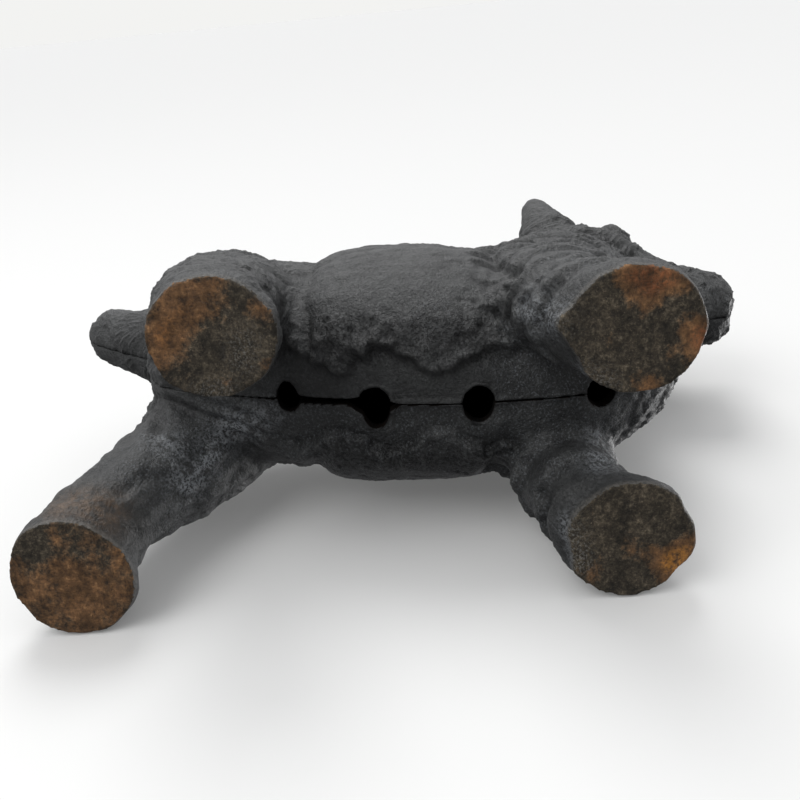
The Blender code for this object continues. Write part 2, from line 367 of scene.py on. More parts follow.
# Heights of the lower edges of the tiers of hair on the front legs, left (1) and right (-1).
TIERS = {1: (19, 32, 49, 62, 74, 86, 98), -1: (17, 26, 36, 46, 57, 68, 80, 92, 104)}
TIER_LENGTH = 16
# How far the tiers stand out on the left (1) and right (-1) leg, how much more they do at its back, and how
# deep the back of the leg is cut in below them.
TIER_REACH = {1: 1.5, -1: 2.6}
TIER_BACK_REACH = {1: 4.0, -1: 1.2}
TIER_BACK_CUT = {1: 2.2, -1: 0.0}


def belly_shape(points, normals):
    """The coat ends in a ragged, crusty edge beside a smooth strip along the belly seam."""
    down = smooth_step(-0.05, -0.45, normals[:, 2])
    span = smooth_step(-37, -30, points[:, 1]) * smooth_step(46, 38, points[:, 1])
    under = down * span * (points[:, 2] < 62)
    wave = np.clip((points[:, 1] - FRINGE_CREST) / FRINGE_WAVE, -1, 1)
    edge = FRINGE_OUT + FRINGE_SWING * np.cos(2 * pi * wave)
    wobble = 1.5 * noise(points, 5, 21) + 1.1 * noise(points, 2.4, 22)
    out = np.abs(points[:, 0]) - edge - wobble
    coat = smooth_step(-0.8, 0.8, out)
    near = np.exp(-((np.clip(out - 1.5, 0, None) / 5.5) ** 2)) * coat
    crust = near * (1.2 * noise(points, 4.2, 24) + 0.8 * noise(points, 2.1, 25))
    ribs = np.sin(points[:, 1] * 2 * pi / 6.5 + 4 * noise(points, 10, 23))
    band = np.exp(-(((out - 7) / 4) ** 2))
    return under * (2.2 * coat + 0.9 * near - 1.2 + crust + 0.28 * band * ribs)


def tiers(points, side):
    """Overlapping tiers of hair down the front legs, feathered at the back, and streaks behind."""
    rise = np.clip((points[:, 2] - 20) / 60, 0, 1)
    away = points[:, :2] - np.stack((side * (28.5 - 5 * rise), -49 + 2 * rise), axis=1)
    turn = np.arctan2(away[:, 1], side * away[:, 0])
    gap = np.linalg.norm(away, axis=1)
    on_leg = smooth_step(29, 22, gap) * smooth_step(8, 14, points[:, 2])
    on_leg *= smooth_step(116, 98, points[:, 2]) * smooth_step(2, 9, side * points[:, 0])
    height = points[:, 2] + 0.12 * points[:, 1] + 6 + 3 * noise(points, 17, 31) + noise(points, 6, 36)
    lip = np.zeros(len(points))
    for row, base in enumerate(TIERS[side]):
        lobes = np.abs(np.sin(turn * 3.6 + 1.7 * row + 1.4 * noise(points, 20, 40 + row)))
        run = (height - base + 4.2 * lobes * (0.7 + 0.3 * noise(points, 15, 70 + row))) / TIER_LENGTH
        shape = smooth_step(0, 0.16, run) * (1 - np.clip(run, 0, 1)) ** 1.1 * (0.65 + 0.35 * lobes)
        lip = np.maximum(lip, shape * (0.8 + 0.35 * noise(points, 13, 60 + row)))
    strands = noise(points * (1, 1, 0.22), 2.6, 37) + 0.6 * noise(points * (1, 1, 0.3), 1.7, 38)
    back = np.exp(-(((turn - 1.5) / 0.9) ** 2))
    reach = TIER_REACH[side] + TIER_BACK_REACH[side] * back * smooth_step(80, 55, points[:, 2])
    reach *= 1 + 0.45 * noise(points, 16, 39)
    folds = (reach * (lip - 0.45) + 0.25 * strands) * on_leg
    folds -= TIER_BACK_CUT[side] * back * on_leg * smooth_step(50, 30, points[:, 2])
    streak = np.sin((points[:, 0] * 1.2 + 0.35 * points[:, 1]) * 2 * pi / 7 + 4 * noise(points, 18, 32))
    on_hind = smooth_step(38, 48, points[:, 1]) * smooth_step(6, 14, points[:, 2])
    on_hind *= smooth_step(74, 56, points[:, 2])
    return folds + (0.45 * streak + 0.8 * noise(points, 8, 34)) * on_hind


def flank_grooves(points, side):
    """The flank is a smooth dome between a groove behind the shoulder and one before the haunch."""
    out = side * points[:, 0]
    span = smooth_step(12, 20, out) * smooth_step(34, 40, points[:, 2]) * smooth_step(112, 86, points[:, 2])
    front = points[:, 1] + 31.5 - 1.5 * np.sin(points[:, 2] / 9) - 1.5 * noise(points, 14, 81)
    hind = points[:, 1] - 30 - 0.12 * (out - 20) + 1.2 * noise(points, 12, 82)
    cut = 2.6 * np.exp(-((front / 2.8) ** 2)) + 1.9 * np.exp(-((hind / 3.0) ** 2))
    dome = smooth_step(-30, -22, points[:, 1]) * smooth_step(29, 20, points[:, 1])
    crust = noise(points, 2.6, 83) * np.exp(-((front / 4.5) ** 2))
    return span * (1.1 * dome - cut + 0.8 * crust)


# Where each sole's outline leaves its oval: direction in degrees, push out in mm, spread in radians.
OUTLINES = {
    "right_front": ((96, 3.0, 0.2), (66, -1.3, 0.25), (-20, 0.4, 0.5), (180, -0.4, 0.6)),
    "left_front": ((-78, 0.9, 0.2), (-50, -0.9, 0.25), (-118, -0.6, 0.25), (85, -0.9, 0.3), (55, 0.7, 0.2)),
    "right_hind": ((40, 0.4, 0.4), (-100, 0.4, 0.3), (150, -0.3, 0.4)),
    "left_hind": ((20, 0.7, 0.5), (-30, 0.5, 0.2), (100, -0.4, 0.3), (-140, -0.4, 0.4)),
}


def foot_outline(points):
    """Sideways push that leaves each sole its own uneven outline."""
    push = np.zeros_like(points)
    for index, (name, (x, y)) in enumerate(SOLES.items()):
        away = points[:, :2] - (x, y)
        gap = np.maximum(np.linalg.norm(away, axis=1), 0.001)
        turn = np.arctan2(away[:, 1], away[:, 0])
        near = smooth_step(30, 24, gap) * smooth_step(13, 4, points[:, 2]) * smooth_step(6, 15, gap)
        grow = 0.14 * np.sin(7 * turn + index) + 0.1 * np.sin(11 * turn + 2 * index)
        for degrees, out, spread in OUTLINES[name]:
            off = (turn - radians(degrees) + pi) % (2 * pi) - pi
            grow = grow + out * np.exp(-((off / spread) ** 2))
        push[:, :2] += away / gap[:, None] * (grow * near)[:, None]
    return push


def pits(points, skin, rng):
    """Small casting pits, thickest in the rough band low on the flank."""
    height = np.zeros(len(points))
    candidates = np.flatnonzero(skin > 0.5)
    tree = kdtree.KDTree(len(points))
    for index in candidates:
        tree.insert(points[index], int(index))
    tree.balance()
    low_flank = np.exp(-(((points[:, 2] - 40) / 5) ** 2)) * (np.abs(points[:, 1] + 2) < 30)
    chance = 0.0002 + 0.012 * low_flank
    for index in candidates[rng.random(len(candidates)) < chance[candidates]]:
        radius = rng.uniform(1.0, 1.7)
        depth = rng.uniform(0.3, 1.0)
        for _, other, gap in tree.find_range(points[index], radius):
            height[other] = min(height[other], -depth * (1 - (gap / radius) ** 2))
    return height


# Rust on each sole: how far ahead of its middle, how far to the dog's right, strength and reach.
RUST = {
    "right_front": (
        (-4, 14, 0.8, 4.8),
        (3, 14, 1.15, 5),
        (9, 12, 0.75, 4.4),
        (2, 8, 0.6, 3.8),
        (16, -2.5, 1.3, 5.2),
        (13, -10, 0.45, 4.4),
        (4, -16, 0.7, 4.4),
    ),
    "left_front": ((11.5, -7.5, 1.35, 6), (16, -2, 0.6, 4), (1, -4, 0.35, 4), (-11, -10, 0.45, 5)),
    "right_hind": (
        (-5, 9, 0.85, 8),
        (-13, 2, 0.75, 6),
        (-13, -5, 0.5, 5),
        (3, 14, 0.6, 4),
        (13, 7, 0.6, 4),
        (14, -8, 0.45, 4),
        (2, -14, 0.3, 5),
    ),
    "left_hind": ((0, -2, 0.8, 24), (-9, 11, -0.9, 5), (5, 8, -0.3, 6), (-1, -12, 0.1, 8)),
}


# How red rather than yellow the rust on each sole is.
REDNESS = {"right_front": 1.0, "left_front": 0.0, "right_hind": 0.5, "left_hind": 0.35}


def sole_rust(points):
    """How rusty each place on the soles is, from 0 for dark iron to 1.3 for the brightest orange."""
    rust = np.zeros(len(points))
    for name, (x, y) in SOLES.items():
        near = np.hypot(points[:, 0] - x, points[:, 1] - y) < SOLE_REACH
        for ahead, right, strength, reach in RUST[name]:
            gap = np.hypot(points[:, 1] - (y - ahead), points[:, 0] - (x - right))
            rust += near * strength * np.exp(-((gap / reach) ** 2))
    return np.clip(rust, 0, 1.3)


# Scuffs and dust on the legs and the rims of the soles, and rusty paint at the left hind ankle: each
# stroke's two ends, its reach and how strong.
CHALK = (
    ((10, 55, 50), (22, 70, 30), 6, 1.0),
    ((5, 45, 40), (14, 60, 50), 6, 0.7),
    ((10, 77, 38), (20, 70, 32), 6, 0.6),
    ((15, -60, 35), (15, -55, 14), 5, 0.85),
    ((38, -46, 0), (28, -44, 2), 4, 0.9),
    ((-32, -40, 4), (-30, -36, 22), 5, 0.7),
    ((-15, -52, 0), (-18, -47, 2), 4, 0.6),
    ((-17, 52, 0), (-19, 47, 2), 4, 0.7),
    ((-32, 40, 0), (-27, 41, 0), 4, 0.6),
)
BROWN = (((16, 98, 8), (18, 88, 8), 7, 1.0),)


def strokes(points, rows):
    """Strength from 0 to 1 near any of the strokes, given as two ends, a reach and a strength."""
    total = np.zeros(len(points))
    for start, end, reach, strength in rows:
        run = np.array(end, float) - start
        along = np.clip((points - start) @ run / (run @ run), 0, 1)
        gap = np.linalg.norm(points - start - along[:, None] * run, axis=1)
        total = np.maximum(total, strength * np.exp(-((gap / reach) ** 2)))
    return total


def wear(mesh, points, normals, skin, side):
    """Stores where the paint is sandy, chalky or rusty, where painted shade darkens the band low on the
    flank and its pits, and the soles' rims that get a painted highlight.
    """
    folded = points * (side, 1, 1)
    # The band low on the flank, under the coat's fringe, which gets painted shade, its pits painted near
    # black.
    low = smooth_step(54, 45, points[:, 2]) * smooth_step(-0.1, -0.5, normals[:, 2])
    flank = smooth_step(-32, -24, points[:, 1]) * smooth_step(34, 26, points[:, 1])
    band = np.exp(-(((folded[:, 0] - 20) / 5.5) ** 2))
    store(mesh, "pits_and_band_shade", np.clip(low * flank * band + 0.12, 0, 1) * skin)
    chest = smooth_step(-22, -32, points[:, 1]) * smooth_step(30, 22, folded[:, 0])
    sandy = smooth_step(60, 46, points[:, 2]) * smooth_step(0, -0.4, normals[:, 2])
    sandy *= np.maximum(chest, 0.9 if side > 0 else 0.15)
    store(mesh, "sandy", np.clip(sandy * smooth_step(12, 20, points[:, 2]), 0, 1) * skin)
    chalk = strokes(points, CHALK)
    store(mesh, "chalk", chalk)
    brown = strokes(points, BROWN)
    store(mesh, "brown", brown)
    # The soles' rims, where the paint gets a painted highlight.
    edge = np.zeros(len(points))
    for x, y in SOLES.values():
        near = np.hypot(points[:, 0] - x, points[:, 1] - y) < SOLE_REACH
        edge += near * (points[:, 2] < 3) * smooth_step(2.2, 0.4, np.abs(points[:, 2] - 0.4))
    edge *= 1 - smooth_step(0.97, 0.999, -normals[:, 2])
    store(mesh, "rim", np.clip(edge, 0, 1))


def sculpt(mesh, points, skin, edges, side, rng):
    """Shapes the skin and hollow. Gives the points, the coat's height and the offset in each one's lock."""
    above = smooth_step(0.7, 2.0, points[:, 2])
    share = skin * above * smooth_step(0.1, 0.9, np.abs(points[:, 0]))
    for _ in range(3):
        skin_soft = neighbour_mean(share[:, None], edges)[:, 0]
        share = np.minimum(share, skin_soft + 0.25)
    points = relax(points, edges, share, 14)
    set_points(mesh, points)
    normals = normals_of(mesh)
    height = 0.9 * layered_noise(points, 24, 3, 1)
    coat, offside = locks(points, normals, skin, rng)
    height += 1.3 * coat
    height += belly_shape(points, normals)
    height += tiers(points, side)
    height += flank_grooves(points, side)
    height += pits(points, skin, rng)
    height += 0.12 * noise(points, 2.2, 5)
    height += face_shape(points, normals, side)
    free = share * smooth_step(1.0, 7.0, points[:, 2])
    across = smooth_step(0.3, 2.5, np.abs(points[:, 0]))[:, None] * (1, 0, 0) + (0, 1, 1)
    points = points + normals * across * (height * free)[:, None]
    corner = 0.6 * smooth_step(1.2, 0.35, side * points[:, 0]) * smooth_step(0, 2, points[:, 2])
    points = points + normals * (0, 1, 1) * corner[:, None]
    points = close_seam(points, side)
    points = points + foot_outline(points) * skin[:, None]
    points[:, 2] = np.maximum(points[:, 2], 0)
    points = relax(points, edges, share * 0.5, 1)
    hollow = (1 - skin) * (np.abs(points[:, 0]) > 2)
    points = points + normals * (0.5 * layered_noise(points, 9, 3, 8) * hollow)[:, None]
    set_points(mesh, points)
    return points, coat, offside


def store_ridges(mesh, points, normals, skin, edges):
    """Stores how far each place stands out as a ridge (1) or lies in a crease (-1)."""
    ridge = np.sum((points - neighbour_mean(points, edges)) * normals, axis=1)
    for _ in range(2):
        ridge = neighbour_mean(ridge[:, None], edges)[:, 0]
    clear = skin.copy()
    for _ in range(5):
        clear = np.minimum(clear, neighbour_mean(clear[:, None], edges)[:, 0])
    store(mesh, "ridge", np.clip(ridge / 0.12, -1, 1) * smooth_step(0.75, 1.0, clear))


def store_rust(mesh, points):
    """Stores how rusty each sole is and how red its rust is."""
    store(mesh, "rust", sole_rust(points))
    redness = np.zeros(len(points))
    for foot, (x, y) in SOLES.items():
        redness += REDNESS[foot] * (np.hypot(points[:, 0] - x, points[:, 1] - y) < SOLE_REACH)
    store(mesh, "redness", redness)


def store_hair(mesh, points, coat, offside):
    """Stores where fine strands show, and how far across its lock each point is."""
    upper = 0.35 + 0.65 * smooth_step(60, 100, points[:, 2])
    flank = smooth_step(-32, -24, points[:, 1]) * smooth_step(32, 24, points[:, 1])
    store(mesh, "hair", smooth_step(0.1, 0.9, coat) * upper * (1 - 0.7 * flank))
    store(mesh, "offside", offside)


def store_hollow(mesh, points, skin, side):
    """Stores where the paint darkens at the rims of the vents and the screws' holes."""
    belly = smooth_step(-72, -66, points[:, 1]) * smooth_step(60, 54, points[:, 1])
    belly *= smooth_step(58, 52, points[:, 2])
    screwed = (side * points[:, 0] > 12) & (points[:, 2] > 80)
    store(mesh, "hollow", (1 - skin) * np.maximum(belly * (points[:, 2] > 8), screwed))


def assign_materials(mesh, skin, materials):
    """Gives each face its slot: paint (0), the soles (1) or the inside (2)."""
    for material in materials:
        mesh.materials.append(material)
    centres = read(mesh.polygons, "center", 3) / MM
    face_normals = read(mesh.polygons, "normal", 3)
    slots = np.zeros(len(mesh.polygons), np.int32)
    slots[(centres[:, 2] < 0.9) & (face_normals[:, 2] < -0.45)] = 1
    first = read(mesh.polygons, "loop_start", 1, np.int32)[:, 0]
    corner = read(mesh.loops, "vertex_index", 1, np.int32)[:, 0]
    enclosed = (np.maximum.reduceat(skin[corner], first) < 0.5) & (centres[:, 2] > 8)
    slots[enclosed] = 2
    mesh.polygons.foreach_set("material_index", slots)


def casting(node, name, side, materials):
    """One sculpted half: coat, face, folds, uneven feet and a rough hollow inside."""
    rng = np.random.default_rng(SEED + (side > 0))
    mesh = fine_mesh(node)
    mesh.name = name
    mesh.materials.clear()
    edges = read(mesh.edges, "vertices", 2, np.int32)
    points = points_of(mesh)
    skin = outside(points, normals_of(mesh), edges, side)
    points, coat, offside = sculpt(mesh, points, skin, edges, side, rng)
    normals = normals_of(mesh)
    store_ridges(mesh, points, normals, skin, edges)
    store_rust(mesh, points)
    store_hair(mesh, points, coat, offside)
    store_hollow(mesh, points, skin, side)
    wear(mesh, points, normals, skin, side)
    assign_materials(mesh, skin, materials)
    mesh.shade_smooth()
    piece = link(name, mesh)
    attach(piece, "root")
    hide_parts(node)


# How far each vent is drawn out across the seam in the left (1) and right (-1) half.
VENT_STRETCH = ({1: 1.25, -1: 1.6}, {1: 1.75, -1: 1.0}, {1: 1.4, -1: 1.0}, {1: 1.15, -1: 1.0})
# The second vent sits a little towards the head. Beside it the left half's edge curls away more than the
# right half's.
SECOND_VENT = VENTS[1][0]
SECOND_VENT_SHIFT = 1.8
FLARE = {1: 2.2, -1: 0.4}
# How much wider the right half leaves the slot between the first and second vent.
SLOT_EXTRA = 0.5
# Points nearer the seam than SEAM_FACE are on the seam's own face, which closes to a tenth of its gap.
SEAM_FACE = 0.6
SEAM_LEFT = 0.1


def close_seam(points, side):
    """Brings the seam faces together except along the belly, and shapes the uneven vents."""
    gap = side * points[:, 0]
    low = points[:, 2] < BELLY_TOP
    for (y, radius), stretch in zip(VENTS, VENT_STRETCH):
        near = smooth_step(radius + 4, radius - 0.5, np.abs(points[:, 1] - y)) * low
        near *= smooth_step(radius + 8, radius, gap)
        gap = gap + (stretch[side] - 1) * np.clip(gap, 0, radius) * near
    from_second = np.abs(points[:, 1] - SECOND_VENT)
    shift = smooth_step(12, 5, from_second) * smooth_step(13, 6, gap) * low
    if side < 0:
        slot = smooth_step(13, 17, points[:, 1]) * smooth_step(36, 31, points[:, 1]) * low
        gap = gap + SLOT_EXTRA * slot * smooth_step(3.5, SEAM_FACE, gap)
    belly = smooth_step(-64, -58, points[:, 1]) * smooth_step(62, 56, points[:, 1])
    belly *= smooth_step(BELLY_TOP, 44, points[:, 2])
    pulled = gap - SEAM_FACE * (1 - SEAM_LEFT) * smooth_step(2.2, SEAM_FACE, gap)
    moved = np.where(gap < SEAM_FACE, gap * SEAM_LEFT, pulled)
    gap = gap + (moved - gap) * (1 - belly)
    flare = smooth_step(4, 0, from_second - 4.4) * smooth_step(4.5, 0.5, gap) * (points[:, 2] < 46)
    gap = gap + FLARE[side] * flare
    return np.column_stack((side * gap, points[:, 1] - SECOND_VENT_SHIFT * shift, points[:, 2]))


# The turned screws in millimetres.
SCREW_SIDES = 72
HEAD_ROUNDING = 0.35
HEAD_RIM = 0.3
HEAD_DEPTH = 2.7
SHANK_RADIUS = 2.05
NECK_RADIUS = 2.2
TIP_RADIUS = 0.9
THREAD_PITCH = 0.9
THREAD_HEIGHT = 0.25
THREAD_START = -3.2
THREAD_STEP = -0.3
TIP_TAPER = 1.6
SLOT_DEPTH = 1.1
SLOT_WIDTH = 1.2
WORN_EDGE = 0.12
SLOT_TURN = {"shoulder_screw": 35, "haunch_screw": -50}


def screw_profile(across, length):
    """Radius and depth of the screw's outline, from the middle of its head to its tip."""
    profile = [(0, 0), (across - HEAD_ROUNDING, 0), (across - 0.05, -0.12), (across, -HEAD_RIM)]
    profile.append((NECK_RADIUS, -HEAD_DEPTH))
    for depth in np.arange(THREAD_START, -length + TIP_TAPER, THREAD_STEP):
        profile.append((SHANK_RADIUS + THREAD_HEIGHT * sin(depth * 2 * pi / THREAD_PITCH), depth))
    profile.append((TIP_RADIUS, -length))
    profile.append((0, -length))
    return profile


def turned(name, profile):
    """The outline turned about the X axis, as a closed mesh."""
    shape = bmesh.new()
    rings = []
    for radius, depth in profile:
        ring = []
        for step in range(1 if radius == 0 else SCREW_SIDES):
            angle = step * 2 * pi / (1 if radius == 0 else SCREW_SIDES)
            place = (depth * MM, radius * cos(angle) * MM, radius * sin(angle) * MM)
            ring.append(shape.verts.new(place))
        rings.append(ring)
    for first, second in zip(rings, rings[1:]):
        for step in range(SCREW_SIDES):
            after = (step + 1) % SCREW_SIDES
            if len(first) == 1:
                shape.faces.new((first[0], second[after], second[step]))
            elif len(second) == 1:
                shape.faces.new((first[step], first[after], second[0]))
            else:
                shape.faces.new((first[step], first[after], second[after], second[step]))
    bmesh.ops.recalc_face_normals(shape, faces=shape.faces)
    mesh = bpy.data.meshes.new(name)
    shape.to_mesh(mesh)
    shape.free()
    return mesh


def slot_cutter(name, across):
    """A bar across the head that cuts the screwdriver's slot."""
    block = bmesh.new()
    bmesh.ops.create_cube(block, size=1)
    bmesh.ops.scale(block, vec=(2 * SLOT_DEPTH * MM, 3 * across * MM, SLOT_WIDTH * MM), verts=block.verts)
    mesh = bpy.data.meshes.new(name)
    block.to_mesh(mesh)
    block.free()
    return link(name, mesh)


def screw(node, name, steel):
    """A turned screw: soft-edged countersunk head with a slot, and a threaded shank."""
    low, high = (np.array(corner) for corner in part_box(node))
    centre = (low + high) / 2
    across = (high[1] - low[1]) / 2 / MM
    length = (high[0] - low[0]) / MM
    whole_mesh = turned(name, screw_profile(across, length))
    cutter = slot_cutter(name + "_slot", across)
    whole = link(name + "_whole", whole_mesh)
    cut = whole.modifiers.new("Slot", "BOOLEAN")
    cut.object = cutter
    cut.solver = "EXACT"
    edge = whole.modifiers.new("Worn edges", "BEVEL")
    edge.width = WORN_EDGE * MM
    edge.segments = 2
    edge.angle_limit = radians(40)
    made = link(name, applied(whole))
    bpy.data.objects.remove(cutter, do_unlink=True)
    made.data.transform(Matrix.Rotation(radians(SLOT_TURN[node]), 4, "X"))
    made.location = (high[0], centre[1], centre[2])
    made.data.materials.clear()
    made.data.materials.append(steel)
    for face in made.data.polygons:
        face.use_smooth = True
    made.data.set_sharp_from_angle(angle=radians(35))
    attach(made, "root")
    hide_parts(node)


# ---------------------------------------------------------------- materials


def nodes_of(name):
    material = bpy.data.materials.new(name)
    material.use_nodes = True
    tree = material.node_tree
    return material, tree, tree.nodes["Principled BSDF"]


def add(tree, kind, inputs=(), **settings):
    """Adds a node, sets its properties and fills or links its inputs."""
    node = tree.nodes.new("ShaderNode" + kind)
    for key, value in settings.items():
        setattr(node, key, value)
    for key, value in dict(inputs).items():
        if isinstance(value, bpy.types.NodeSocket):
            tree.links.new(value, node.inputs[key])
        else:
            node.inputs[key].default_value = value
    return node


def grain(tree, where, scale, detail=4.0, rough=0.55):
    """Noise in real size: the scale is in features per metre."""
    inputs = {"Vector": where, "Scale": scale, "Detail": detail, "Roughness": rough}
    return add(tree, "TexNoise", inputs).outputs["Fac"]


def ramp(tree, value, stops):
    """A colour or grey for each stretch of a value, from (position, colour) stops."""
    node = add(tree, "ValToRGB", {"Fac": value})
    ramp_stops = node.color_ramp.elements
    while len(ramp_stops) < len(stops):
        ramp_stops.new(0.5)
    for stop, (position, colour) in zip(ramp_stops, stops):
        stop.position = position
        stop.color = (*colour, 1) if isinstance(colour, tuple) else (colour, colour, colour, 1)
    return node.outputs["Color"]


def blended(tree, factor, first, second, how="MIX"):
    node = add(tree, "Mix", data_type="RGBA", blend_type=how)
    node.clamp_factor = True
    for socket, value in ((node.inputs[0], factor), (node.inputs[6], first), (node.inputs[7], second)):
        if isinstance(value, bpy.types.NodeSocket):
            tree.links.new(value, socket)
        elif isinstance(value, tuple):
            socket.default_value = (*value, 1)
        else:
            socket.default_value = value
    return node.outputs[2]


def maths(tree, operation, first, second=0.0, clamp=False):
    node = add(tree, "Math", operation=operation, use_clamp=clamp)
    for socket, value in zip(node.inputs, (first, second)):
        if isinstance(value, bpy.types.NodeSocket):
            tree.links.new(value, socket)
        else:
            socket.default_value = value
    return node.outputs["Value"]


def bumped(tree, height, strength, distance, under=None):
    inputs = {"Height": height, "Strength": strength, "Distance": distance}
    if under is not None:
        inputs["Normal"] = under
    return add(tree, "Bump", inputs).outputs["Normal"]


def paint_material():
    """Old black paint over sand-cast iron: satin, gritty, scuffed grey on the ridges, dusty in specks, with
    painted shade in the creases, in the pits, on the band low on the flank and at the mouths of the vents
    and screw holes, and a painted highlight along the soles' rims.
    """
    material, tree, shader = nodes_of("worn_black_paint")
    where = add(tree, "TexCoord").outputs["Object"]
    wear_at = {}
    for name in ("ridge", "pits_and_band_shade", "sandy", "chalk", "brown", "rim", "hollow"):
        wear_at[name] = add(tree, "Attribute", attribute_name=name).outputs["Fac"]
    cloud = grain(tree, where, 90, 6, 0.62)
    sand = grain(tree, where, 1100, 3, 0.6)
    fine = grain(tree, where, 3000, 2, 0.5)
    hole = grain(tree, where, 950, 4, 0.6)
    tone = ramp(tree, cloud, ((0.32, (0.0145, 0.015, 0.015)), (0.68, (0.042, 0.0435, 0.043))))
    grit = ramp(tree, sand, ((0.36, 0.72), (0.5, 1.0), (0.66, 1.4)))
    tone = blended(tree, 1.0, tone, grit, "MULTIPLY")
    worn = maths(tree, "MULTIPLY", maths(tree, "ADD", wear_at["ridge"], -0.1), 1.3, True)
    worn = maths(tree, "MULTIPLY", worn, ramp(tree, sand, ((0.42, 0.0), (0.62, 1.0))), True)
    tone = blended(tree, maths(tree, "MULTIPLY", worn, 0.5), tone, (0.12, 0.122, 0.12))
    # Painted shade: the creases between the locks and folds are darkened towards black.
    crease = maths(tree, "MULTIPLY", maths(tree, "ADD", wear_at["ridge"], 0.12), -1.6, True)
    tone = blended(tree, maths(tree, "MULTIPLY", crease, 0.45), tone, (0.005, 0.005, 0.005))
    patch = ramp(tree, grain(tree, where, 35, 3), ((0.52, 0.0), (0.7, 0.5)))
    speck = ramp(tree, grain(tree, where, 1500, 3, 0.65), ((0.53, 0.0), (0.66, 1.0)))
    dust = maths(tree, "MULTIPLY", maths(tree, "ADD", patch, wear_at["sandy"], True), speck)
    tone = blended(tree, maths(tree, "MULTIPLY", dust, 0.7), tone, (0.15, 0.163, 0.175))
    scuff = ramp(tree, grain(tree, where, 1100, 5, 0.75), ((0.45, 0.0), (0.53, 1.0)))
    broken = ramp(tree, grain(tree, where, 260, 4, 0.7), ((0.4, 0.0), (0.52, 1.0)))
    scuff = maths(tree, "MULTIPLY", maths(tree, "MULTIPLY", scuff, broken), wear_at["chalk"])
    tone = blended(tree, maths(tree, "MULTIPLY", scuff, 0.8), tone, (0.33, 0.35, 0.37))
    rusty = ramp(tree, grain(tree, where, 400, 5, 0.65), ((0.38, 0.2), (0.6, 1.0)))
    rusty = maths(tree, "MULTIPLY", rusty, wear_at["brown"])
    tone = blended(tree, maths(tree, "MULTIPLY", rusty, 0.9), tone, (0.13, 0.082, 0.048))
    # Painted highlight: a pale, broken line along the rims of the soles.
    rim_highlight = maths(tree, "MULTIPLY", wear_at["rim"], ramp(tree, sand, ((0.3, 0.2), (0.55, 1.0))))
    tone = blended(tree, maths(tree, "MULTIPLY", rim_highlight, 0.7), tone, (0.12, 0.11, 0.095))
    # Painted shade: the band low on the flank, under the coat's fringe, is darkened towards black.
    tone = blended(tree, maths(tree, "MULTIPLY", wear_at["pits_and_band_shade"], 0.45), tone, (0.01, 0.01, 0.01))
    # Painted shade in the pits: they are painted near black; the same mask also dents the surface in the
    # bump below.
    pit_shade_and_dent = maths(tree, "MULTIPLY", ramp(tree, hole, ((0.51, 0.0), (0.57, 1.0))), wear_at["pits_and_band_shade"])
    tone = blended(tree, pit_shade_and_dent, tone, (0.003, 0.003, 0.003))
    shade = ramp(tree, wear_at["hollow"], ((0.35, 0.0), (0.9, 1.0)))
    tone = blended(tree, shade, tone, (0.004, 0.004, 0.004))
    tree.links.new(tone, shader.inputs["Base Color"])
    rough = maths(tree, "ADD", maths(tree, "MULTIPLY", sand, 0.35), 0.28)
    rough = maths(tree, "ADD", rough, maths(tree, "MULTIPLY", cloud, 0.2))
    tree.links.new(rough, shader.inputs["Roughness"])
    shader.inputs["Specular IOR Level"].default_value = 0.55
    lumps = bumped(tree, grain(tree, where, 330, 3, 0.6), 0.55, 0.0012)
    pit_bump = bumped(tree, maths(tree, "MULTIPLY", pit_shade_and_dent, -1.0), 0.9, 0.0011, lumps)
    coarse_bump = bumped(tree, sand, 0.65, 0.0007, pit_bump)
    offside = add(tree, "Attribute", attribute_name="offside").outputs["Fac"]
    hair = add(tree, "Attribute", attribute_name="hair").outputs["Fac"]
    bend = maths(tree, "MULTIPLY", grain(tree, where, 160, 2), 6.0)
    strand = maths(tree, "SINE", maths(tree, "ADD", maths(tree, "MULTIPLY", offside, 3.2), bend))
    strand = maths(tree, "MULTIPLY", strand, hair)
    strand_bump = bumped(tree, strand, 0.5, 0.00035, coarse_bump)
    fine_bump = bumped(tree, fine, 0.5, 0.00025, strand_bump)
    tree.links.new(fine_bump, shader.inputs["Normal"])
    return material


